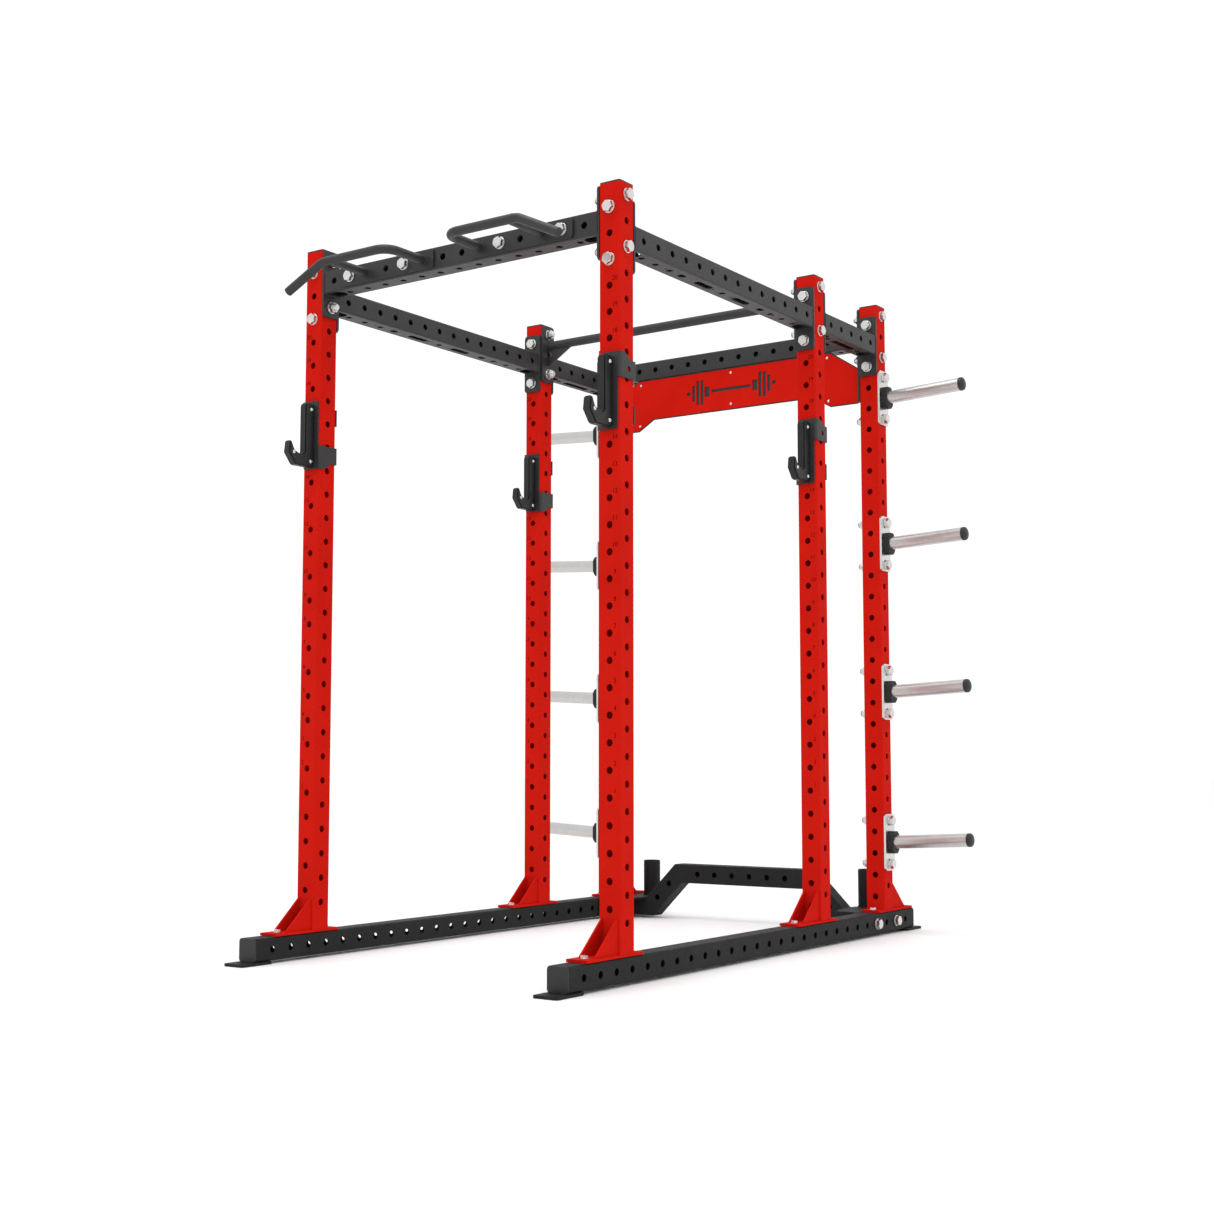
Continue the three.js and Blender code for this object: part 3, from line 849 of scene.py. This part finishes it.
def barbell_cutters(low_y, high_y, centre_z):
    """Stencilled barbell: a shaft and weight plates, as separate slots."""
    bars = [(0, 170, 12)]
    for sign in (-1, 1):
        bars += [(sign * 105, 22, 40), (sign * 187, 16, 14)]
        bars += [(sign * shift, 13, height) for shift, height in ((127, 94), (146, 94), (165, 62))]
    cutters = []
    for x, width, height in bars:
        half_wide, half_high = width / 2 * MM, height / 2 * MM
        shape = rectangle(-half_wide, -half_high, half_wide, half_high, 3 * MM)
        bar = slab(shape, "y", low_y, high_y)
        cutters.append(move(bar, Matrix.Translation((x * MM, 0, centre_z))))
    return joined(cutters)


def name_outline(node, lip):
    """Outline of the nameplate in (x, z); lip is how far its backing plate shows past it."""
    low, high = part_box(node)
    right = [
        (NAME_BOTTOM_X, low.z + NAME_RISE),
        (EAR_X, low.z),
        (high.x, low.z),
        (high.x, high.z - EAR_HIGH),
        (NAME_TOP_X + lip, high.z),
    ]
    left = [(-x, z) for x, z in reversed(right)]
    return rounded(right + left, 4 * MM)


def build_nameplate():
    low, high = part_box("nameplate_face")
    centre_z = (low.z + NAME_RISE + high.z) / 2
    face = slab(name_outline("nameplate_face", 0), "y", low.y, high.y, 0.5 * MM)
    face = boolean(face, "DIFFERENCE", [barbell_cutters(low.y - MM, high.y + MM, centre_z)])
    place(finished(face, RED), "nameplate_front", hides=["nameplate_face"])
    back_low, back_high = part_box("nameplate_backer")
    back = slab(name_outline("nameplate_backer", BACKER_LIP), "y", back_low.y, back_high.y, 0.5 * MM)
    place(finished(back, BLACK), "nameplate_back", hides=["nameplate_backer"])
    top = high.z - 16 * MM
    spots = [(0, top), (0, low.z + 58 * MM)]
    corners = ((408 * MM, top), (412 * MM, low.z + 18 * MM))
    spots += [(sign * x, z) for sign in (-1, 1) for x, z in corners]
    dome = [(0, 0), (5 * MM, 0), (4.6 * MM, 1.4 * MM), (2.6 * MM, 2.4 * MM), (0, 2.8 * MM)]
    face_out = Matrix.Rotation(math.pi / 2, 4, "X")
    rivets = [lathe(dome, 20, Matrix.Translation((x, low.y, z)) @ face_out) for x, z in spots]
    place(finished(joined(rivets), ZINC), "nameplate_rivets")


# ---- low crossmember and bar holders ----


def mitred_tube(path):
    """Square tube along a path in (x, z), with mitred bends, centred on y = 0."""
    bm = bmesh.new()
    inside = HALF - WALL
    outlines = (
        rectangle(-HALF, -HALF, HALF, HALF, CORNER),
        rectangle(-inside, -inside, inside, inside, CORNER - WALL),
    )
    walls = []
    for outline in outlines:
        rings = []
        for index, point in enumerate(path):
            here = Vector(point)
            before = (here - Vector(path[index - 1])).normalized() if index else None
            after = (Vector(path[index + 1]) - here).normalized() if index < len(path) - 1 else None
            before, after = before or after, after or before
            across = Vector((-(before + after).y, (before + after).x)).normalized()
            stretch = 1 / across.dot(Vector((-before.y, before.x)))
            ring = []
            for y, up in outline:
                spot = here + across * up * stretch
                ring.append(bm.verts.new((spot.x, y, spot.y)))
            rings.append(ring)
        skin(bm, rings)
        walls.append(rings)
    for end in (0, -1):
        skin(bm, [walls[0][end], walls[1][end]])
    return solid(bm)


LOW_Y = 895 * MM
LOW_BEND = 275 * MM  # half length of the raised stretch
LOW_BOLTS = (750 * MM, 900 * MM)
SHELF_HALF = 145 * MM
SHELF_TIP = 451 * MM
SHELF_ROOT = 419 * MM


def build_low_crossmember():
    low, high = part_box("low_crossmember")
    inner = high.x - PLATE
    runner_low, runner_high = PLATE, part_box("base_runner_right")[1].z
    low_z, top_z = (runner_low + runner_high) / 2, high.z - HALF
    foot = LOW_BEND + top_z - low_z
    half_path = [(LOW_BEND, top_z), (foot, low_z), (inner + MM, low_z)]
    path = [(-x, z) for x, z in reversed(half_path)] + half_path
    tube = mitred_tube(path)
    parts = []
    for sign in (-1, 1):
        faces = sorted((sign * inner, sign * high.x))
        flange = rectangle(low.y - LOW_Y, runner_low, 40 * MM, runner_high, 6 * MM)
        parts.append(slab(flange, "x", *faces, EDGE))
        shelf = [
            (inner + MM, -SHELF_HALF),
            (SHELF_TIP, -SHELF_HALF, 8 * MM),
            (SHELF_ROOT, -HALF),
            (SHELF_ROOT, HALF),
            (SHELF_TIP, SHELF_HALF, 8 * MM),
            (inner + MM, SHELF_HALF, 4 * MM),
        ]
        shelf = rounded([(sign * corner[0], *corner[1:]) for corner in shelf])
        parts.append(slab(shelf, "z", runner_high - PLATE, runner_high, EDGE))
    body = boolean(tube, "UNION", parts)
    odd = [(PITCH * s, top_z) for s in (-2.5, -1.5, -0.5, 0.5, 1.5, 2.5)]
    slanted = ((315 * MM, 39 * MM), (368 * MM, 93 * MM))
    odd += [(sign * x, top_z - drop) for sign in (-1, 1) for x, drop in slanted]
    ends = [(y * MM - LOW_Y, low_z) for y in (750, 825, 900)]
    cuts = [
        drills("y", odd, -HALF - 5 * MM, HALF + 5 * MM),
        drills("z", [(PITCH * s, 0) for s in range(-3, 4)], top_z + 20 * MM, top_z + HALF + 5 * MM),
        drills("x", ends, inner - MM, high.x + MM, BOLT_HOLE),
        drills("x", ends, -high.x - MM, -inner + MM, BOLT_HOLE),
    ]
    body = boolean(body, "DIFFERENCE", cuts)
    place(finished(body, SHADED_BASE_BLACK), "crossmember_low", position=(0, LOW_Y, 0), hides=["low_crossmember"])


def build_bar_holders():
    low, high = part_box("bar_holder_right")
    outer = (high.x - low.x) / 2
    bore = outer - 5 * MM
    chamfer = 2.5 * MM
    profile = [
        (outer, low.z),
        (outer, high.z - chamfer),
        (outer - chamfer, high.z),
        (bore + 1.5 * MM, high.z),
        (bore, high.z - 1.5 * MM),
        (bore, low.z),
    ]
    holder = joined([lathe(profile, 56), weld(circle(outer, steps=48), "z", low.z + 0.5 * MM)])
    built = finished(holder, SHADED_BASE_BLACK)
    for side, _ in SIDES:
        node = f"bar_holder_{side}"
        spot = (middle(node).x, middle(node).y, 0)
        place(built, f"barbell_holder_{side}", position=spot, hides=[node])


# ---- weight horns ----

HORN_TILT = math.radians(3)
SLEEVE = 23 * MM
SLEEVE_BORE = 19 * MM


HORN_LONG = 290 * MM


def along_horn(distance):
    """Frame on the sleeve's axis, its Z along the sleeve."""
    spot = Vector((PLATE + SKIN + distance * math.cos(HORN_TILT), 0, distance * math.sin(HORN_TILT)))
    return Matrix.Translation(spot) @ Matrix.Rotation(math.pi / 2 - HORN_TILT, 4, "Y")


def build_horns():
    low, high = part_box("horn_right_1")
    plate = slab(chamfered(HALF, (high.z - low.z) / 2, 8 * MM), "x", SKIN, PLATE + SKIN, EDGE)
    ring = [
        (SLEEVE, -2 * MM),
        (SLEEVE, HORN_LONG - MM),
        (SLEEVE - MM, HORN_LONG),
        (SLEEVE_BORE, HORN_LONG),
        (SLEEVE_BORE, -2 * MM),
    ]
    plate = finished(plate, ZINC)
    sleeve = finished(lathe(ring, 56, along_horn(0)), SHADED_SLEEVE_ZINC)
    face = PLATE + 2 * SKIN
    collar_low, collar_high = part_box("horn_collar_right_1")
    wide = (collar_high.y - collar_low.y) / 2
    tall = (collar_high.z - collar_low.z) / 2
    thick = collar_high.x - collar_low.x
    shape = [(*corner, 5 * MM) for corner in chamfered(wide, tall, 15 * MM)]
    collar = slab(rounded(shape, steps=4), "x", face, face + thick, 2.6 * MM)
    clear = SLEEVE + SKIN
    bore = [(0, -30 * MM), (clear, -30 * MM), (clear, 60 * MM), (0, 60 * MM)]
    bore = lathe(bore, 48, along_horn(0))
    collar = finished(boolean(collar, "DIFFERENCE", [bore]), RUBBER)
    rim = SLEEVE + 0.5 * MM
    dome = [(0, 0), (rim - 0.6 * MM, 0), (rim, 0.6 * MM), (rim, 8 * MM)]
    for step in range(1, 9):
        angle = step / 8 * math.pi / 2
        dome.append((rim * math.cos(angle) if step < 8 else 0, 8 * MM + 11 * MM * math.sin(angle)))
    cap = finished(lathe(dome, 56, along_horn(HORN_LONG + SKIN)), PLASTIC)
    for side, sign in SIDES:
        for index in range(1, 5):
            node = f"{side}_{index}"
            spot = (sign * (post_x + HALF), post_y["rear"], middle(f"horn_collar_{node}").z)
            turn = 0 if sign > 0 else math.pi
            place(plate, f"weight_horn_plate_{node}", position=spot, turn=turn, hides=[f"horn_{node}"])
            place(sleeve, f"weight_horn_sleeve_{node}", position=spot, turn=turn)
            place(collar, f"weight_horn_collar_{node}", position=spot, turn=turn,
                  hides=[f"horn_collar_{node}"])
            place(cap, f"weight_horn_cap_{node}", position=spot, turn=turn, hides=[f"horn_cap_{node}"])


# ---- J-cups ----
# In the cup's own frame the pin is on the Y axis and the upright's face is at y = 0.

SHEET = 5 * MM
CUP_CLEAR = 0.5 * MM
CUP_TALL = 109 * MM
ARM_FROM = 36 * MM
ARM_SIDE = CUP_TALL - 20 * MM
CUP_HALF = 30 * MM
PIN = 9.8 * MM  # radius
PIN_END = 58 * MM
ARM_HOLE = (8 * MM, 37 * MM, 63.5 * MM)  # radius and place of the upper arm's hole
BODY_HALF = 14.25 * MM
LINER_HALF = 9.6 * MM


def cup_bracket():
    """Bent-sheet bracket of a right-hand cup, with its pin; the upper arm wraps the +X side."""
    back = -CUP_CLEAR
    front = back - SHEET
    near = HALF + CUP_CLEAR
    far = near + SHEET
    lip_in = 2 * HALF + CUP_CLEAR
    lip_out = lip_in + SHEET
    face = rectangle(-CUP_HALF, -CUP_TALL, CUP_HALF, CUP_TALL, 9 * MM)
    bracket = slab(face, "y", front, back, EDGE)
    bend, crease = 8 * MM, 3 * MM
    sheet = rounded([
        (20 * MM, front),
        (far, front, bend),
        (far, lip_out, bend),
        (-HALF, lip_out, MM),
        (-HALF, lip_in, MM),
        (near, lip_in, crease),
        (near, back, crease),
        (20 * MM, back),
    ])
    profile = rounded([
        (front - MM, ARM_FROM, 0.0),
        (lip_out + MM, ARM_FROM, 0.0),
        (lip_out + MM, ARM_SIDE, 0.0),
        (46.5 * MM, ARM_SIDE, 5 * MM),
        (18 * MM, CUP_TALL, 6 * MM),
        (front - MM, CUP_TALL, 0.0),
    ])
    arms = []
    for sign in (-1, 1):
        bent = slab(sheet, "z", ARM_FROM - 5 * MM, CUP_TALL + 5 * MM)
        arm = boolean(bent, "INTERSECT", [slab(profile, "x", -HALF - 5 * MM, far + 5 * MM)])
        if sign > 0:
            hole = slab(circle(*ARM_HOLE), "x", near - 2 * MM, far + 2 * MM)
            arm = boolean(arm, "DIFFERENCE", [hole])
        else:
            move(arm, Matrix.Diagonal((-1, 1, -1, 1)))
        arms.append(arm)
    pin = [(0, front + MM), (PIN, front + MM), (PIN, PIN_END - 4 * MM), (PIN - 2 * MM, PIN_END), (0, PIN_END)]
    pin = lathe([(r, -y) for r, y in pin], 40, Matrix.Rotation(math.pi / 2, 4, "X"))
    return boolean(bracket, "UNION", [*arms, pin])


def inset(corners, distance):
    """Corners (a, b, radius) of an anticlockwise outline, moved inwards."""
    moved = []
    for index, (a, b, radius) in enumerate(corners):
        here = Vector((a, b))
        before = (here - Vector(corners[index - 1][:2])).normalized()
        after = (Vector(corners[(index + 1) % len(corners)][:2]) - here).normalized()
        inward = Vector((-(before + after).y, (before + after).x)).normalized()
        reach = distance / inward.dot(Vector((-before.y, before.x)))
        moved.append((*(here + inward * reach), radius))
    return moved


def cup_body():
    """Moulded hook that carries the bar: a liner between two set-back cheeks, with a groove at each."""
    back = -CUP_CLEAR - SHEET - SKIN
    hook = [
        (-40, 97, 6),
        (-40, -67, 13),
        (-63, -67, 22),
        (-86, -57, 18),
        (-100.5, -31, 2),
        (-103.5, -31, 3),
        (-109.5, -68, 8),
        (-80, -104.5, 8),
    ]
    profile = [(back, -104.5 * MM, 3 * MM), (back, 97 * MM, 3 * MM)]
    profile += [(y * MM, z * MM, radius * MM) for y, z, radius in hook]
    liner = slab(rounded(profile, steps=6), "x", -LINER_HALF, LINER_HALF, 1.2 * MM)
    cheek = rounded(inset(profile, 3 * MM), steps=6)
    core = slab(rounded(inset(profile, 8 * MM), steps=6), "x", MM - BODY_HALF, BODY_HALF - MM)
    root = LINER_HALF + 1.2 * MM
    sides = ((root, BODY_HALF), (-BODY_HALF, -root))
    cheeks = [slab(cheek, "x", near, far, 1.2 * MM) for near, far in sides]
    return joined([liner, core, *cheeks])


def cup_screws():
    """Button-head screws on both sides of the body."""
    dome = [(0, -1), (6.2, -1), (6.2, 0.8), (5.2, 2.6), (3.4, 3.6), (3.2, 1.2), (0, 1.2)]
    dome = [(radius * MM, height * MM) for radius, height in dome]
    heads = []
    for sign in (-1, 1):
        outward = Matrix.Rotation(sign * math.pi / 2, 4, "Y")
        for y, z in ((-17, 78.5), (-18, -87.5), (-89.5, -66)):
            spot = Matrix.Translation((sign * BODY_HALF, y * MM, z * MM))
            heads.append(lathe(dome, 20, spot @ outward))
    return joined(heads)


def build_cups():
    mirror = Matrix.Diagonal((-1, 1, 1, 1))
    body = finished(cup_body(), CUP)
    screws = finished(cup_screws(), ZINC)
    for side, sign in SIDES:
        bracket = cup_bracket()
        if sign < 0:
            move(bracket, mirror)
        bracket = finished(bracket, BLACK)
        for row in ("front", "mid"):
            name = f"{row}_{side}"
            spot = cup_joint[f"jcup_twist_{name}"]
            rider = f"jcup_{name}"
            place(bracket, f"cup_bracket_{name}", rider, spot, hides=[f"jcup_bracket_{name}"])
            place(body, f"cup_body_{name}", rider, spot, hides=[f"jcup_body_{name}"])
            place(screws, f"cup_screws_{name}", rider, spot)


# ---- bolts ----

HEX = 15 * MM  # half across the flats
SMALL_HEX = 9.5 * MM  # on the base plates
WASHER = (18.5 * MM, 3 * MM)  # radius and thickness
SMALL_WASHER = (12 * MM, 2 * MM)


def washer(radius, thick):
    """Flat washer with broken edges, facing +Z."""
    edge = 0.5 * MM
    inner = radius - edge
    outline = [(0, 0), (inner, 0), (radius, edge), (radius, thick - edge), (inner, thick), (0, thick)]
    return lathe(outline, 36)


def hexagon(half, low, high, top_only):
    """Hexagonal head or nut with its corners turned off."""
    corner = half / math.cos(math.pi / 6)
    turns = [math.pi / 3 * side for side in range(6)]
    points = [Vector((corner * math.cos(t), corner * math.sin(t))) for t in turns]
    past = corner * 1.01
    chamfer = 0.15 * half
    start = [(past, low)] if top_only else [(half, low), (past, low + chamfer)]
    turned = [(0, low), *start, (past, high - chamfer), (half * 0.97, high), (0, high)]
    return boolean(slab(points, "z", low, high), "INTERSECT", [lathe(turned, 48)])


def bolt_head():
    """Washer and hexagonal head, facing +Z."""
    return joined([washer(*WASHER), hexagon(HEX, 3 * MM, 15.5 * MM, True)])


def small_head():
    """Washer and low hexagonal head of a base bolt, facing +Z."""
    return joined([washer(*SMALL_WASHER), hexagon(SMALL_HEX, 2 * MM, 8.5 * MM, True)])


def bolt_nut():
    """Washer, lock nut and the threaded end, facing +Z."""
    collar = [(0, 15 * MM), (13.4 * MM, 15 * MM), (13.4 * MM, 19 * MM), (12 * MM, 20.5 * MM), (0, 20.5 * MM)]
    thread = [(0, 18 * MM)]
    for turn in range(4):
        rise = 18 * MM + turn * 2 * MM
        thread += [(8.9 * MM, rise), (9.9 * MM, rise + MM)]
    thread += [(8.6 * MM, 26.5 * MM), (0, 26.5 * MM)]
    nut = hexagon(HEX, 3 * MM, 16 * MM, False)
    return joined([washer(*WASHER), nut, lathe(collar, 32), lathe(thread, 32)])


def across(sign, head, nut, y, z):
    """A bolt along X: its head at x = sign * head and its nut at x = sign * nut."""
    return [("head", (sign * head, y, z), (sign, 0, 0)), ("nut", (sign * nut, y, z), (-sign, 0, 0))]


def lengthwise(x, head, nut, z):
    """A bolt along Y: its head at y = head and its nut at y = nut."""
    return [("head", (x, head, z), (0, -1, 0)), ("nut", (x, nut, z), (0, 1, 0))]


def bolts(name, spots):
    """Hardware at (kind, place, direction) spots, as one piece."""
    parts = []
    for index, (kind, spot, direction) in enumerate(spots):
        facing = Vector(direction).to_track_quat("Z", "Y").to_matrix().to_4x4()
        spin = Matrix.Rotation(0.4 + index * 0.77, 4, "Z")
        part = linked("bolt", HARDWARE[kind].copy())
        parts.append(move(part, Matrix.Translation(spot) @ facing @ spin))
    place(finished(joined(parts), ZINC), name)


HARDWARE = {}


def build_bolts():
    HARDWARE["head"] = taken(bolt_head())
    HARDWARE["nut"] = taken(bolt_nut())
    HARDWARE["small"] = taken(small_head())
    outer = post_x + HALF
    side_bolts = (hole_zero + 21 * PITCH, hole_zero + 23 * PITCH)
    for part, row in (("front_crossmember", "front"), ("pull_up_bar", "mid"), ("rear_crossmember", "rear")):
        spots = []
        for _, sign in SIDES:
            for z in PLATE_BOLTS:
                spots += across(sign, outer, flange_face, post_y[row], z)
        bolts(f"bolts_{part}", spots)
    front_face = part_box("side_beam_front_right")[0].y + PLATE
    mid_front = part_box("side_beam_front_right")[1].y - PLATE
    mid_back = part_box("side_beam_rear_right")[0].y + PLATE
    rear_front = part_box("side_beam_rear_right")[1].y - PLATE
    pairs = (
        ("front", post_y["front"] - HALF, front_face),
        ("mid", mid_front, mid_back),
        ("rear", rear_front, post_y["rear"] + HALF),
    )
    for row, head_y, nut_y in pairs:
        spots = []
        for _, sign in SIDES:
            for z in side_bolts:
                spots += lengthwise(sign * post_x, head_y, nut_y, z)
        bolts(f"bolts_side_beams_{row}", spots)
    handle_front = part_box("multi_grip_right")[1].y - GRIP_PLATE[2]
    spots = []
    for _, sign in SIDES:
        for x in (2.5 * PITCH, 5.5 * PITCH):
            spots += lengthwise(sign * x, handle_front, post_y["front"] + HALF, cross_z)
    bolts("bolts_pull_up_handles", spots)
    plate_face = outer + PLATE + SKIN
    for side, sign in SIDES:
        spots = []
        for index in range(1, 5):
            centre = middle(f"horn_collar_{side}_{index}").z
            for z in (centre - PITCH, centre + PITCH):
                spots += across(sign, plate_face, post_x - HALF, post_y["rear"], z)
        bolts(f"bolts_weight_horns_{side}", spots)
    for side, sign in SIDES:
        spots = []
        for row in ROWS:
            way = -1 if row == "rear" else 1
            for shift in (-150 * MM, 56 * MM):
                spot = (sign * post_x, post_y[row] + way * shift, base_top)
                spots.append(("small", spot, (0, 0, 1)))
        bolts(f"bolts_base_{side}", spots)
    spots = []
    runner_z = middle("base_runner_right").z + 4 * MM
    for _, sign in SIDES:
        for y in LOW_BOLTS:
            spots += across(sign, outer, flange_face, y, runner_z)
    bolts("bolts_low_crossmember", spots)


# ---- studio ----


def build_studio():
    """Pale floor, white surroundings, two soft lights and the camera."""
    bm = bmesh.new()
    ring = [bm.verts.new((*point, -0.5 * MM)) for point in circle(40.0, steps=96)]
    bm.faces.new(ring)
    floor = solid(bm)
    floor.name = "studio_floor"
    paint = bpy.data.materials.new("studio_floor")
    paint.use_nodes = True
    surface = paint.node_tree.nodes["Principled BSDF"]
    surface.inputs["Base Color"].default_value = (0.95, 0.95, 0.95, 1)
    surface.inputs["Roughness"].default_value = 0.6
    surface.inputs["Specular IOR Level"].default_value = 0.2
    floor.data.materials.append(paint)

    world = bpy.data.worlds.new("studio")
    world.use_nodes = True
    world.node_tree.nodes["Background"].inputs["Color"].default_value = (1, 1, 1, 1)
    world.node_tree.nodes["Background"].inputs["Strength"].default_value = 1.06
    bpy.context.scene.world = world
    bpy.context.scene.view_settings.view_transform = "Standard"

    lights = (
        ("overhead", (0.3, -1.5, 6.5), 4.0, 120),
        ("side", (6.0, -1.0, 3.5), 3.0, 15),
    )
    for name, spot, size, power in lights:
        lamp = bpy.data.lights.new(name, "AREA")
        lamp.shape = "DISK"
        lamp.size = size
        lamp.energy = power
        light = linked(name, lamp)
        light.location = spot
        light.rotation_euler = (Vector((0, 0, 1.1)) - Vector(spot)).to_track_quat("-Z", "Y").to_euler()

    lens = bpy.data.cameras.new("camera")
    lens.lens = 50.0
    lens.sensor_width = 36.0
    camera = linked("camera", lens)
    camera.location = (3.2175, -4.5955, 0.6235)
    camera.rotation_euler = (math.radians(95), 0, math.radians(35))
    bpy.context.scene.camera = camera


build_uprights()
build_runners()
build_top_frame()
build_pull_up_bar()
build_handles()
build_nameplate()
build_low_crossmember()
build_bar_holders()
build_horns()
build_cups()
build_bolts()
build_studio()
